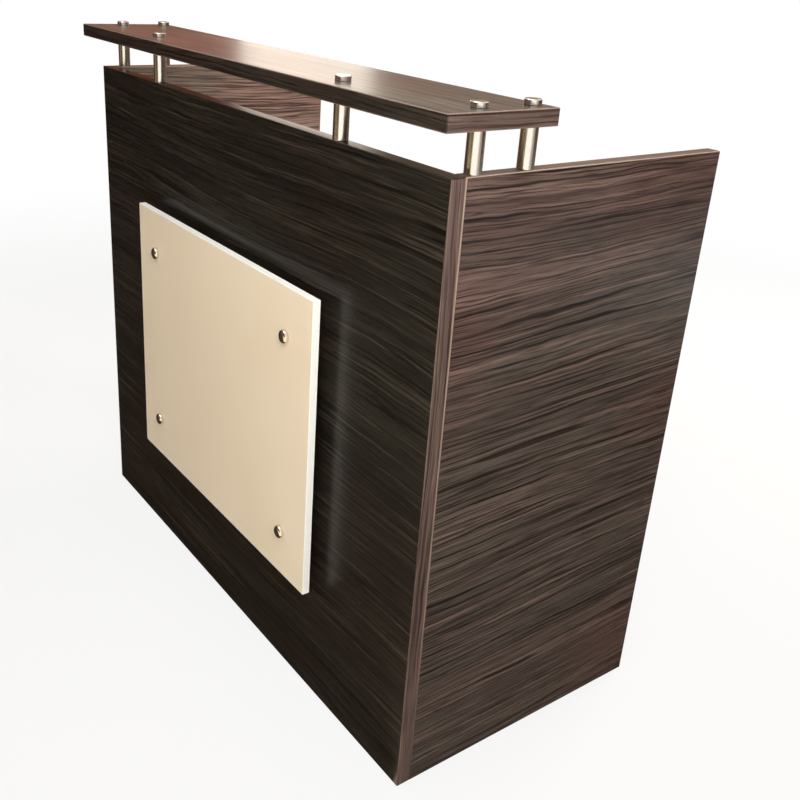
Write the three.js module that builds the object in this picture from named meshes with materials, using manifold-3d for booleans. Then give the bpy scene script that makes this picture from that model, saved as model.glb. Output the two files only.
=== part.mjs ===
// Reception desk: a three-sided panel body with a raised counter on round metal posts,
// a pale fascia held off the front on standoffs, and a work surface with a lockable drawer behind.
// Millimetres, +Z up, visitors stand at -Y and staff sit at +Y.
// Distances along Y are first measured back from the front panel's outer face.

import * as THREE from 'three';
import { mergeVertices } from 'three/addons/utils/BufferGeometryUtils.js';
import Module from 'manifold-3d';

const wasm = await Module();
wasm.setup();

// Body panels
const bodyWidth = 1220;
const bodyDepth = 572;
const panelHeight = 1055;
const boardThickness = 25;
const seatGap = 0.3;              // left between two pieces that seat on each other

// Raised counter
const counterThickness = 25;
const counterDepth = 198;
const counterEndOverhang = 20;
const counterFrontOverhang = 34;
const counterGap = 63;            // panel tops to the counter's underside
const postDiameter = 25;
const firstPostInset = 46;        // front face to the first post on an end panel
const secondPostInset = 21;       // counter's rear edge to the second post on an end panel
const frontPostSpacing = 660;

// Fascia
const fasciaWidth = 690;
const fasciaHeight = 564;
const fasciaThickness = 14;
const fasciaGap = 21;             // front panel to the back of the fascia
const fasciaDrop = 4;             // fascia's centre below the panels' middle
const fasciaCapSideInset = 83;
const fasciaCapEndInset = 89;
const standoffDiameter = 22;

// Button caps, their studs and the bolts that hold the posts and standoffs down
const capDiameter = 25;
const capThickness = 8;
const capBevel = 1.5;
const fasciaCapThickness = 9;     // domed, so thicker than the counter's caps
const fasciaCapSide = 2;          // straight side under the dome
const fasciaCapPower = 3;         // 2 makes the dome an ellipse, more makes its face flatter
const studDiameter = 8;
const studClearance = 0.3;        // all round, in every drilled hole
const postStudLength = 16;        // cap stud inside a post
const standoffStudLength = 7;     // cap stud inside a standoff
const studBoltGap = 3;            // stud's end to the bolt's end
const postBoltDepth = 40;         // bolt inside a panel's top edge
const boltEndCover = 7;           // front panel left behind a fascia bolt

// Work surface, its rails and the corner brackets
const workHeight = 745;
const workThickness = 25;
const workSetback = 20;           // behind the end panels' rear edges
const railWidth = 20;
const railHeight = 40;
const railRearSetback = 60;       // work surface's rear edge to the ends of the side rails
const bracketLeg = 40;
const bracketThickness = 3;
const bracketHeight = 80;
const bracketFloorGap = 210;      // floor to the low brackets
const bracketRailGap = 40;        // high brackets to the rails above them

// Drawer bay under the right end of the work surface
const bayWidth = 380;
const baySetback = 45;            // end panels' rear edges to the drawer's face
const partitionThickness = 18;
const shelfThickness = 18;
const shelfHeight = 80;
const shelfSetback = 8;           // shelf's rear edge inside the drawer's face

// Drawer
const drawerFrontThickness = 18;
const drawerFrontHeight = 150;
const drawerReveal = 2;           // gap round the drawer front
const drawerWall = 12;
const drawerLift = 15;            // box above the drawer front's lower edge
const drawerTopClearance = 5;     // box below the side rail
const drawerRearClearance = 64;   // box to the front panel
const drawerBottomThickness = 6;
const drawerBottomLift = 8;

// Drawer slides, a channel on the cabinet and a smaller one on the drawer
const slideSpace = 12.7;          // between cabinet and drawer, each side
const slideHeight = 35;
const slideWall = 1.5;
const slideClearance = 0.8;       // between the two channels
const slideDrawerGap = 2.7;       // cabinet channel's lips to the drawer
const slideEndSetback = 6;

// Drawer pull
const pullLength = 140;
const pullProjection = 30;
const pullBar = 9;
const pullHeight = 10;
const pullDrop = 12;              // below the middle of the drawer front

// Drawer lock
const lockDrop = 30;              // work surface's underside to the lock's axis
const lockCoreDiameter = 12;
const lockSleeveWall = 2.2;
const lockFlangeRim = 2.5;
const lockFlangeThickness = 3;
const lockCamWidth = 10;
const lockCamThickness = 2.5;
const lockCamTopClearance = 6;    // turned-up cam to the work surface
const keywayWidth = 1.6;
const keywayHeight = 7;
const keywayDepth = 6;
const strikeLength = 60;
const strikeThickness = 5;
const strikeGap = 2;              // drawer front to the strike
const strikeCamGap = 2;           // strike to the cam behind it
const strikeClearance = 10;       // lock core to the strike above it

const roundSides = 24;
const domeSteps = 6;

const laminate = { color: 0x4a3d36, roughness: 0.42, metalness: 0 };
const fasciaFinish = { color: 0xdfcbb0, roughness: 0.35, metalness: 0 };
const melamine = { color: 0xcfcac2, roughness: 0.5, metalness: 0 };
const stainless = { color: 0xbdb6ac, roughness: 0.25, metalness: 1 };
const zincSteel = { color: 0x9a9da0, roughness: 0.45, metalness: 1 };
const beech = { color: 0xb58a5e, roughness: 0.6, metalness: 0 };

const innerX = bodyWidth / 2 - boardThickness;
const panelBack = boardThickness + seatGap;
const workUnderside = workHeight - workThickness;
const counterUnderside = panelHeight + counterGap;
const counterTop = counterUnderside + counterThickness;
const fasciaFace = -(fasciaGap + fasciaThickness);
const drawerFace = bodyDepth - baySetback;
const drawerInner = drawerFace - drawerFrontThickness;
const bayMiddle = innerX - bayWidth / 2;
const lockAxisHeight = workUnderside - lockDrop;
const holeRadius = studDiameter / 2 + studClearance;
const lockBore = lockCoreDiameter / 2 + studClearance;
const lockSleeve = lockBore + lockSleeveWall;
const railTop = workUnderside - seatGap;
const railFoot = railTop - railHeight;

// The origin is under the middle of the whole desk, from the foremost piece to the rear edges.
const frontReach = Math.max(seatGap + fasciaCapThickness - fasciaFace, counterFrontOverhang);
const desk = new THREE.Group();
desk.position.y = (frontReach - bodyDepth) / 2;

function place(name, geometry, finish, x = 0, y = 0, z = 0) {
  const mesh = new THREE.Mesh(geometry, new THREE.MeshStandardMaterial(finish));
  mesh.name = name;
  mesh.position.set(x, y, z);
  desk.add(mesh);
  return mesh;
}

// A plain board between two corners, each given as [x, y, z].
function boardGeometry(low, high) {
  const size = high.map((value, i) => value - low[i]);
  const geometry = new THREE.BoxGeometry(...size);
  geometry.translate(...high.map((value, i) => (value + low[i]) / 2));
  return geometry;
}

function board(name, finish, low, high) {
  return place(name, boardGeometry(low, high), finish);
}

// A profile of [radius, height] pairs turned about the Z axis.
function turned(profile) {
  const points = profile.map(([radius, height]) => new THREE.Vector2(radius, height));
  return new THREE.LatheGeometry(points, roundSides).rotateX(Math.PI / 2);
}

function rod(radius, from, to) {
  return turned([[0, from], [radius, from], [radius, to], [0, to]]);
}

function tube(innerRadius, outerRadius, from, to) {
  const inner = [innerRadius, from];
  return turned([inner, [outerRadius, from], [outerRadius, to], [innerRadius, to], inner]);
}

// A flat outline of [x, y] pairs with round holes, raised along Z from 0.
function plate(outline, thickness, holes = [], holeSize = holeRadius) {
  const shape = new THREE.Shape(outline.map(([x, y]) => new THREE.Vector2(x, y)));
  for (const [x, y] of holes) {
    shape.holes.push(new THREE.Path().absarc(x, y, holeSize, 0, 2 * Math.PI, true));
  }
  const options = { depth: thickness, bevelEnabled: false, curveSegments: roundSides / 2 };
  return new THREE.ExtrudeGeometry(shape, options);
}

function rectangle(width, height) {
  const x = width / 2;
  const y = height / 2;
  return [[-x, -y], [x, -y], [x, y], [-x, y]];
}

function toSolid(geometry) {
  const bare = geometry.clone();
  bare.deleteAttribute('normal');
  bare.deleteAttribute('uv');
  const merged = mergeVertices(bare);
  const vertProperties = new Float32Array(merged.attributes.position.array);
  const triVerts = new Uint32Array(merged.index.array);
  return new wasm.Manifold(new wasm.Mesh({ numProp: 3, vertProperties, triVerts }));
}

function toGeometry(solid) {
  const mesh = solid.getMesh();
  const geometry = new THREE.BufferGeometry();
  geometry.setAttribute('position', new THREE.BufferAttribute(mesh.vertProperties, 3));
  geometry.setIndex(new THREE.BufferAttribute(mesh.triVerts, 1));
  geometry.computeVertexNormals();
  return geometry;
}

function cut(geometry, tools) {
  return toGeometry(tools.reduce((solid, tool) => solid.subtract(toSolid(tool)), toSolid(geometry)));
}

// Where the counter posts stand: two on each end panel, two on the front panel.
const endPostX = bodyWidth / 2 - boardThickness / 2;
const secondPostY = counterDepth - counterFrontOverhang - secondPostInset;
const counterPosts = [
  { name: 'left_front', panel: 'left', x: -endPostX, y: firstPostInset },
  { name: 'left_rear', panel: 'left', x: -endPostX, y: secondPostY },
  { name: 'right_front', panel: 'right', x: endPostX, y: firstPostInset },
  { name: 'right_rear', panel: 'right', x: endPostX, y: secondPostY },
  { name: 'front_left', panel: 'front', x: -frontPostSpacing / 2, y: boardThickness / 2 },
  { name: 'front_right', panel: 'front', x: frontPostSpacing / 2, y: boardThickness / 2 },
];

// Where the fascia's standoffs stand on the front panel.
const fasciaMiddle = panelHeight / 2 - fasciaDrop;
const standoffX = fasciaWidth / 2 - fasciaCapSideInset;
const standoffZ = fasciaHeight / 2 - fasciaCapEndInset;
const fasciaStandoffs = [
  { name: 'upper_left', x: -standoffX, z: standoffZ },
  { name: 'upper_right', x: standoffX, z: standoffZ },
  { name: 'lower_left', x: -standoffX, z: -standoffZ },
  { name: 'lower_right', x: standoffX, z: -standoffZ },
];
const fasciaBoltDepth = boardThickness - boltEndCover;

// Blind holes down into the top edge of one panel, for the posts' bolts.
function postHoles(panel) {
  const hole = rod(holeRadius, panelHeight - postBoltDepth - seatGap, panelHeight + seatGap);
  return counterPosts
    .filter((post) => post.panel === panel)
    .map((post) => hole.clone().translate(post.x, post.y, 0));
}

function buildPanels() {
  const side = bodyWidth / 2;
  const front = boardGeometry([-side, 0, 0], [side, boardThickness, panelHeight]);
  const standoffHole = rod(holeRadius, -fasciaBoltDepth - seatGap, seatGap).rotateX(Math.PI / 2);
  const standoffHoles = fasciaStandoffs.map((spot) =>
    standoffHole.clone().translate(spot.x, 0, fasciaMiddle + spot.z));
  place('front_panel', cut(front, [...postHoles('front'), ...standoffHoles]), laminate);
  for (const [panel, edge] of [['left', -side], ['right', innerX]]) {
    const low = [edge, panelBack, 0];
    const high = [edge + boardThickness, bodyDepth, panelHeight];
    place(`${panel}_end_panel`, cut(boardGeometry(low, high), postHoles(panel)), laminate);
  }
}

// A cap and its stud, from the cap's seat at height 0.
function capGeometry(studLength, head) {
  const rim = capDiameter / 2;
  const stud = studDiameter / 2;
  return turned([[0, -studLength], [stud, -studLength], [stud, 0], [rim, 0], ...head]);
}

// A flat button head with a bevelled rim.
function flatHead() {
  const rim = capDiameter / 2;
  return [[rim, capThickness - capBevel], [rim - capBevel, capThickness], [0, capThickness]];
}

// A domed head: a straight side, then a quarter of a superellipse up to the axis.
function domedHead() {
  const rim = capDiameter / 2;
  const crown = fasciaCapThickness - fasciaCapSide;
  const head = [];
  for (let step = 0; step < domeSteps; step += 1) {
    const angle = (step / domeSteps) * (Math.PI / 2);
    const [out, up] = [Math.cos(angle), Math.sin(angle)].map((share) => share ** (2 / fasciaCapPower));
    head.push([rim * out, fasciaCapSide + crown * up]);
  }
  return [...head, [0, fasciaCapThickness]];
}

function buildCounter() {
  const length = bodyWidth + 2 * counterEndOverhang;
  const middle = counterDepth / 2 - counterFrontOverhang;
  const holes = counterPosts.map((post) => [post.x, post.y - middle]);
  const counter = plate(rectangle(length, counterDepth), counterThickness, holes);
  place('counter_board', counter, laminate, 0, middle, counterUnderside);
  const post = tube(holeRadius, postDiameter / 2, seatGap, counterGap - seatGap);
  const boltTop = counterGap - postStudLength - studBoltGap;
  const bolt = rod(studDiameter / 2, -postBoltDepth, boltTop);
  const cap = capGeometry(counterThickness + postStudLength, flatHead());
  for (const { name, x, y } of counterPosts) {
    place(`counter_post_${name}`, post.clone(), stainless, x, y, panelHeight);
    place(`post_bolt_${name}`, bolt.clone(), zincSteel, x, y, panelHeight);
    place(`counter_cap_${name}`, cap.clone(), stainless, x, y, counterTop + seatGap);
  }
}

function buildFascia() {
  const holes = fasciaStandoffs.map((spot) => [spot.x, spot.z]);
  const fascia = plate(rectangle(fasciaWidth, fasciaHeight), fasciaThickness, holes);
  fascia.rotateX(Math.PI / 2);
  place('fascia_panel', fascia, fasciaFinish, 0, -fasciaGap, fasciaMiddle);
  const standoff = tube(holeRadius, standoffDiameter / 2, seatGap, fasciaGap - seatGap);
  const boltTop = fasciaGap - standoffStudLength - studBoltGap;
  const bolt = rod(studDiameter / 2, -fasciaBoltDepth, boltTop);
  const cap = capGeometry(fasciaThickness + standoffStudLength, domedHead());
  for (const geometry of [standoff, bolt, cap]) geometry.rotateX(Math.PI / 2);
  for (const { name, x, z } of fasciaStandoffs) {
    const height = fasciaMiddle + z;
    place(`fascia_standoff_${name}`, standoff.clone(), stainless, x, 0, height);
    place(`fascia_bolt_${name}`, bolt.clone(), zincSteel, x, 0, height);
    place(`fascia_cap_${name}`, cap.clone(), stainless, x, fasciaFace - seatGap, height);
  }
}

const partitionRight = innerX - bayWidth;
const partitionLeft = partitionRight - partitionThickness;

function buildWorkSurface() {
  const reach = innerX - seatGap;
  const rear = bodyDepth - workSetback;
  board('work_surface', laminate, [-reach, panelBack, workUnderside], [reach, rear, workHeight]);
  const railRear = rear - railRearSetback;
  const railInner = reach - railWidth;
  board('support_rail_left', beech, [-reach, panelBack, railFoot], [-railInner, railRear, railTop]);
  board('support_rail_right', beech, [railInner, panelBack, railFoot], [reach, railRear, railTop]);
  const frontLow = [seatGap - railInner, panelBack, railFoot];
  const frontHigh = [partitionLeft - seatGap, panelBack + railWidth, railTop];
  board('support_rail_front', beech, frontLow, frontHigh);
}

// Steel angles in the two corners behind the front panel.
function buildCornerBrackets() {
  const levels = { low: bracketFloorGap, high: railFoot - bracketRailGap - bracketHeight };
  for (const [side, sign] of [['left', -1], ['right', 1]]) {
    const outline = [
      [0, 0], [bracketLeg, 0], [bracketLeg, bracketThickness],
      [bracketThickness, bracketThickness], [bracketThickness, bracketLeg], [0, bracketLeg],
    ];
    const turnedOutline = outline.map(([x, y]) => [-sign * x, y]);
    const x = sign * (innerX - seatGap);
    for (const [level, foot] of Object.entries(levels)) {
      const bracket = plate(turnedOutline, bracketHeight);
      place(`corner_bracket_${side}_${level}`, bracket, zincSteel, x, panelBack, foot);
    }
  }
}

function buildBay() {
  const partitionLow = [partitionLeft, panelBack, 0];
  board('bay_partition', laminate, partitionLow, [partitionRight, drawerFace, railTop]);
  const shelfLow = [partitionRight + seatGap, panelBack, shelfHeight];
  const shelfHigh = [innerX - seatGap, drawerFace - shelfSetback, shelfHeight + shelfThickness];
  board('bay_shelf', laminate, shelfLow, shelfHigh);
}

const drawerTop = workUnderside - drawerReveal;
const drawerFoot = drawerTop - drawerFrontHeight;
const boxFoot = drawerFoot + drawerLift;
const boxTop = railFoot - drawerTopClearance;
const boxRear = panelBack + drawerRearClearance;
const boxHalf = bayWidth / 2 - slideSpace;

function buildDrawer() {
  const frontWidth = bayWidth - 2 * drawerReveal;
  const frontMiddle = drawerTop - drawerFrontHeight / 2;
  const lockHole = [[0, lockAxisHeight - frontMiddle]];
  const holeSize = lockSleeve + studClearance;
  const front = plate(rectangle(frontWidth, drawerFrontHeight), drawerFrontThickness, lockHole, holeSize);
  front.rotateX(Math.PI / 2);
  place('drawer_front', front, laminate, bayMiddle, drawerFace, frontMiddle);

  const boxFront = drawerInner - seatGap;
  const left = bayMiddle - boxHalf;
  const right = bayMiddle + boxHalf;
  const innerLeft = left + drawerWall + seatGap;
  const innerRight = right - drawerWall - seatGap;
  const innerRear = boxRear + drawerWall + seatGap;
  const floor = boxFoot + drawerBottomLift;
  board('drawer_side_left', melamine, [left, boxRear, boxFoot], [left + drawerWall, boxFront, boxTop]);
  board('drawer_side_right', melamine, [right - drawerWall, boxRear, boxFoot], [right, boxFront, boxTop]);
  board('drawer_back', melamine, [innerLeft, boxRear, boxFoot], [innerRight, boxRear + drawerWall, boxTop]);
  const bottomHigh = [innerRight, boxFront, floor + drawerBottomThickness];
  board('drawer_bottom', melamine, [innerLeft, innerRear, floor], bottomHigh);

  const half = pullLength / 2;
  const inner = half - pullBar;
  const grip = pullProjection - pullBar;
  const pull = plate([
    [-half, 0], [-inner, 0], [-inner, grip], [inner, grip],
    [inner, 0], [half, 0], [half, pullProjection], [-half, pullProjection],
  ], pullHeight);
  const pullFoot = frontMiddle - pullDrop - pullHeight / 2;
  place('drawer_pull', pull, stainless, bayMiddle, drawerFace + seatGap, pullFoot);
}

// A channel section along Y, open towards +X, with its web on the plane x = 0.
function channel(height, depth, length) {
  const half = height / 2;
  const inside = half - slideWall;
  const section = plate([
    [0, -half], [depth, -half], [depth, -inside], [slideWall, -inside],
    [slideWall, inside], [depth, inside], [depth, half], [0, half],
  ], length);
  return section.rotateX(Math.PI / 2).translate(0, length, 0);
}

function buildSlides() {
  const start = boxRear + slideEndSetback;
  const length = drawerInner - slideEndSetback - start;
  const height = (boxFoot + boxTop) / 2;
  const innerHeight = slideHeight - 2 * (slideWall + slideClearance);
  const innerDepth = slideSpace - slideWall - slideClearance - 2 * seatGap;
  const halfTurn = new THREE.Matrix4().makeRotationY(Math.PI);
  for (const [side, sign] of [['left', 1], ['right', -1]]) {
    const cabinet = channel(slideHeight, slideSpace - slideDrawerGap, length);
    const drawer = channel(innerHeight, innerDepth, length);
    (sign > 0 ? drawer : cabinet).applyMatrix4(halfTurn);
    const wall = bayMiddle - sign * (bayWidth / 2 - seatGap);
    const box = bayMiddle - sign * (boxHalf + seatGap);
    place(`cabinet_slide_${side}`, cabinet, zincSteel, wall, start, height);
    place(`drawer_slide_${side}`, drawer, zincSteel, box, start, height);
  }
}

function buildLock() {
  const core = lockCoreDiameter / 2;
  const flange = lockSleeve + lockFlangeRim;
  const housing = turned([
    [lockBore, -drawerFrontThickness], [lockSleeve, -drawerFrontThickness], [lockSleeve, seatGap],
    [flange, seatGap], [flange, lockFlangeThickness], [lockBore, lockFlangeThickness],
    [lockBore, -drawerFrontThickness],
  ]).rotateX(-Math.PI / 2);
  place('lock_housing', housing, stainless, bayMiddle, drawerFace, lockAxisHeight);

  const tail = drawerFrontThickness + strikeGap + strikeThickness + strikeCamGap;
  const plug = rod(core, -tail, lockFlangeThickness).rotateX(-Math.PI / 2);
  const camLength = lockDrop - lockCamTopClearance;
  const camLow = [0, -tail - lockCamThickness, -lockCamWidth / 2];
  const cam = boardGeometry(camLow, [camLength, -tail + seatGap, lockCamWidth / 2]);
  const keywayLow = [-keywayWidth / 2, lockFlangeThickness - keywayDepth, -keywayHeight / 2];
  const keywayHigh = [keywayWidth / 2, lockFlangeThickness + seatGap, keywayHeight / 2];
  const keyway = boardGeometry(keywayLow, keywayHigh);
  const turning = toSolid(plug).add(toSolid(cam)).subtract(toSolid(keyway));
  place('lock_core', toGeometry(turning), stainless, bayMiddle, drawerFace, lockAxisHeight);

  const strikeFront = drawerInner - strikeGap;
  const strikeDrop = lockDrop - core - strikeClearance;
  const strikeFoot = workUnderside - strikeDrop;
  const strikeLow = [bayMiddle - strikeLength / 2, strikeFront - strikeThickness, strikeFoot];
  const strikeHigh = [bayMiddle + strikeLength / 2, strikeFront, workUnderside - seatGap];
  board('lock_strike', zincSteel, strikeLow, strikeHigh);
}

buildPanels();
buildCounter();
buildFascia();
buildWorkSurface();
buildCornerBrackets();
buildBay();
buildDrawer();
buildSlides();
buildLock();

const receptionDesk = new THREE.Group();
receptionDesk.add(desk);

export default receptionDesk;
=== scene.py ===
import math

import bmesh
import bpy
import numpy as np
from mathutils import Matrix, Vector
from mathutils.geometry import tessellate_polygon


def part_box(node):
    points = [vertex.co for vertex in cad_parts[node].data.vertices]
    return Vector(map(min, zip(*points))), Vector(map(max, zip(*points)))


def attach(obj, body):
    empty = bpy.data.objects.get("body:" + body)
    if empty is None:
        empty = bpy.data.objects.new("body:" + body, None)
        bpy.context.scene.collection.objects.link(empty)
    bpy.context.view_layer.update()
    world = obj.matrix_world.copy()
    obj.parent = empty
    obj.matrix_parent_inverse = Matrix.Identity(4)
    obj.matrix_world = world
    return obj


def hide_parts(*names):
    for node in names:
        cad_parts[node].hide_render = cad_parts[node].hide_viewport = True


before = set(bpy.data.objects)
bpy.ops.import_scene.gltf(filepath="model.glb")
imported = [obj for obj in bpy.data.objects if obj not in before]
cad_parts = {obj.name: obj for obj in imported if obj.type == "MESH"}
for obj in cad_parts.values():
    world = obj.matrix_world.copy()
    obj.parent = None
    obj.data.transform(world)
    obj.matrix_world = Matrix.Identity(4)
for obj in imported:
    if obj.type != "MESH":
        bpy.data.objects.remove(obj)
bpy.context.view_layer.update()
mm = 0.001
print("frame loaded:", len(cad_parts), "nodes")


# Finishes

def linearColour(hexCode):
    srgb = np.array([int(hexCode[i:i + 2], 16) for i in (1, 3, 5)]) / 255
    linear = np.where(srgb <= 0.04045, srgb / 12.92, ((srgb + 0.055) / 1.055) ** 2.4)
    return (*linear.tolist(), 1.0)


# Adds one node; an input that is another node's socket is linked, anything else is set.
def addNode(tree, kind, inputs=None, **settings):
    node = tree.nodes.new("ShaderNode" + kind)
    for key, value in settings.items():
        setattr(node, key, value)
    for key, value in (inputs or {}).items():
        if isinstance(value, bpy.types.NodeSocket):
            tree.links.new(value, node.inputs[key])
        else:
            node.inputs[key].default_value = value
    return node


def newFinish(name):
    finish = bpy.data.materials.new(name)
    finish.use_nodes = True
    tree = finish.node_tree
    tree.nodes.clear()
    shader = addNode(tree, "BsdfPrincipled")
    addNode(tree, "OutputMaterial", {"Surface": shader.outputs[0]})
    return finish, tree, shader


# Noise drawn out along the grain: the place is divided by a length for each axis.
def drawnNoise(tree, place, lengths, detail=2.0, roughness=0.5):
    scaled = addNode(tree, "VectorMath", {0: place, 1: tuple(1 / length for length in lengths)},
                     operation="MULTIPLY")
    return addNode(tree, "TexNoise", {"Vector": scaled.outputs[0], "Scale": 1.0, "Detail": detail,
                                      "Roughness": roughness}).outputs[0]


# Printed wood-grain laminate, pressed with a satin plate: a grey-brown ground that leans to olive in
# places, long dark lines that run on from edge to edge, bunching, fading and wavering a little, short
# fibres and dark smudges between them, and a soft sheen that blurs what it mirrors. The real lines
# are about 1 mm wide and are drawn about 2 mm wide to show.
# The attribute "grain" holds metres along and across the grain; the edge attribute is 1 on an eased edge,
# painted pale there, partly as scrape and partly as painted highlight.
def laminateFinish(name, look):
    finish, tree, shader = newFinish(name)
    place = addNode(tree, "Attribute", attribute_name="grain").outputs["Vector"]
    # each drift moves the pattern across the grain: its noise's length, width and depth, and its reach
    for length, width, depth, reach in ((1000, 400, 1, 80), (90, 30, 2, 6)):
        drift = drawnNoise(tree, place, (length * mm, width * mm, depth), detail=1.0)
        drift = addNode(tree, "Math", {0: drift, 1: reach * mm}, operation="MULTIPLY").outputs[0]
        drift = addNode(tree, "CombineXYZ", {"Y": drift}).outputs[0]
        place = addNode(tree, "VectorMath", {0: place, 1: drift}, operation="ADD").outputs[0]

    ground = drawnNoise(tree, place, (900 * mm, 45 * mm, 1))
    lean = drawnNoise(tree, place, (800 * mm, 420 * mm, 1.3), detail=3.0)
    fibre = drawnNoise(tree, place, (70 * mm, 1.8 * mm, 1), detail=2.0)
    streak = drawnNoise(tree, place, (420 * mm, 7 * mm, 5))
    smudge = drawnNoise(tree, place, (75 * mm, 8 * mm, 4))

    ground = addNode(tree, "MapRange", {"Value": ground, "From Min": 0.3, "From Max": 0.7}).outputs[0]
    brown = addNode(tree, "Mix", {0: ground, 6: linearColour(look["dark"]), 7: linearColour(look["light"])},
                    data_type="RGBA").outputs[2]
    olive = addNode(tree, "Mix", {0: ground, 6: linearColour(look["oliveDark"]),
                                  7: linearColour(look["oliveLight"])}, data_type="RGBA").outputs[2]
    lean = addNode(tree, "MapRange", {"Value": lean, "From Min": 0.42, "From Max": 0.55}).outputs[0]
    colour = addNode(tree, "Mix", {0: lean, 6: brown, 7: olive}, data_type="RGBA").outputs[2]
    # each layer: its noise, where it starts, where it is full, how full, and its colour
    layers = [(streak, 0.5, 0.68, 0.5, "pale"), (fibre, 0.52, 0.32, 0.75, "line"),
              (smudge, 0.68, 0.76, 0.7, "vein")]
    # each set of lines: spacing, how far they bunch, and where a line starts and is full across it
    for spacing, bunch, start, full, strength, tint in ((7, 38, 0.54, 0.82, 0.8, "line"),
                                                        (16, 30, 0.92, 0.98, 0.9, "vein")):
        drift = drawnNoise(tree, place, (800 * mm, 28 * mm, spacing))
        drift = addNode(tree, "Math", {0: drift, 1: bunch * mm}, operation="MULTIPLY").outputs[0]
        drift = addNode(tree, "CombineXYZ", {"Y": drift}).outputs[0]
        bunched = addNode(tree, "VectorMath", {0: place, 1: drift}, operation="ADD").outputs[0]
        wave = addNode(tree, "TexWave", {"Vector": bunched, "Scale": math.pi / (10 * spacing * mm)},
                       bands_direction="Y").outputs["Fac"]
        fade = drawnNoise(tree, bunched, (300 * mm, 0.7 * spacing * mm, 7))
        fade = addNode(tree, "MapRange", {"Value": fade, "From Min": 0.38, "From Max": 0.58}).outputs[0]
        line = addNode(tree, "MapRange", {"Value": wave, "From Min": start, "From Max": full}).outputs[0]
        line = addNode(tree, "Math", {0: line, 1: fade}, operation="MULTIPLY").outputs[0]
        layers.append((line, 0, 1, strength, tint))
    for noise, start, full, strength, tint in layers:
        mask = addNode(tree, "MapRange", {"Value": noise, "From Min": start, "From Max": full,
                                          "To Max": strength}).outputs[0]
        colour = addNode(tree, "Mix", {0: mask, 6: colour, 7: linearColour(look[tint])},
                         data_type="RGBA").outputs[2]
    # eased edges painted pale: partly scrape, partly painted highlight where the light falls on them
    scrapeAndHighlightMask = addNode(tree, "Attribute", attribute_name="scrapeAndHighlight").outputs["Fac"]
    colour = addNode(tree, "Mix", {0: scrapeAndHighlightMask, 6: colour, 7: linearColour(look["scrapeAndHighlightColour"])},
                     data_type="RGBA").outputs[2]

    gloss = addNode(tree, "MapRange", {"Value": streak, "To Min": look["roughness"] + 0.06,
                                       "To Max": look["roughness"] - 0.06}).outputs[0]
    relief = addNode(tree, "Bump", {"Strength": 0.25, "Distance": 0.15 * mm, "Height": fibre})
    tree.links.new(colour, shader.inputs["Base Color"])
    tree.links.new(gloss, shader.inputs["Roughness"])
    tree.links.new(relief.outputs[0], shader.inputs["Normal"])
    shader.inputs["Specular IOR Level"].default_value = look["specular"]
    return finish


# Sprayed satin lacquer: an even coat with a very faint cloud in the colour and a fine orange peel.
def lacquerFinish(name, look):
    finish, tree, shader = newFinish(name)
    place = addNode(tree, "TexCoord").outputs["Object"]
    cloud = drawnNoise(tree, place, (180 * mm,) * 3, detail=3.0)
    cloud = addNode(tree, "MapRange", {"Value": cloud, "From Min": 0.3, "From Max": 0.7}).outputs[0]
    colour = addNode(tree, "Mix", {0: cloud, 6: linearColour(look["dark"]), 7: linearColour(look["light"])},
                     data_type="RGBA")
    peel = drawnNoise(tree, place, (2.2 * mm,) * 3, detail=1.0)
    relief = addNode(tree, "Bump", {"Strength": 0.06, "Distance": 0.1 * mm, "Height": peel})
    gloss = addNode(tree, "MapRange", {"Value": cloud, "To Min": look["roughness"] - 0.03,
                                       "To Max": look["roughness"] + 0.03})
    tree.links.new(colour.outputs[2], shader.inputs["Base Color"])
    tree.links.new(gloss.outputs[0], shader.inputs["Roughness"])
    tree.links.new(relief.outputs[0], shader.inputs["Normal"])
    shader.inputs["Specular IOR Level"].default_value = look["specular"]
    return finish


# White ABS edge band: milky, with the long faint chatter of the scraper that trimmed it.
def edgeBandFinish(name, look):
    finish, tree, shader = newFinish(name)
    place = addNode(tree, "Attribute", attribute_name="grain").outputs["Vector"]
    chatter = drawnNoise(tree, place, (60 * mm, 1.5 * mm, 1), detail=2.0)
    colour = addNode(tree, "Mix", {0: chatter, 6: linearColour(look["dark"]),
                                   7: linearColour(look["light"])}, data_type="RGBA")
    relief = addNode(tree, "Bump", {"Strength": 0.1, "Distance": 0.1 * mm, "Height": chatter})
    gloss = addNode(tree, "MapRange", {"Value": chatter, "To Min": 0.3, "To Max": 0.42})
    tree.links.new(colour.outputs[2], shader.inputs["Base Color"])
    tree.links.new(gloss.outputs[0], shader.inputs["Roughness"])
    tree.links.new(relief.outputs[0], shader.inputs["Normal"])
    return finish


# Turned stainless steel: bright and slightly warm, with the lathe's fine rings. The real feed is
# about 0.1 mm, too fine to show, so the rings are drawn 0.7 mm apart.
# The attribute "turn" holds metres out from the piece's axis and along it.
def turnedSteelFinish(name, look):
    finish, tree, shader = newFinish(name)
    place = addNode(tree, "Attribute", attribute_name="turn").outputs["Vector"]
    ring = drawnNoise(tree, place, (0.7 * mm, 0.7 * mm, 1), detail=2.0)
    film = drawnNoise(tree, addNode(tree, "TexCoord").outputs["Object"], (9 * mm,) * 3, detail=2.0)
    colour = addNode(tree, "Mix", {0: film, 6: linearColour(look["dark"]), 7: linearColour(look["light"])},
                     data_type="RGBA")
    gloss = addNode(tree, "MapRange", {"Value": ring, "From Min": 0.3, "From Max": 0.7,
                                       "To Min": look["roughness"] - 0.03,
                                       "To Max": look["roughness"] + 0.03})
    relief = addNode(tree, "Bump", {"Strength": 0.01, "Distance": 0.02 * mm, "Height": ring})
    tree.links.new(colour.outputs[2], shader.inputs["Base Color"])
    tree.links.new(gloss.outputs[0], shader.inputs["Roughness"])
    tree.links.new(relief.outputs[0], shader.inputs["Normal"])
    shader.inputs["Metallic"].default_value = 1.0
    return finish


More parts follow.
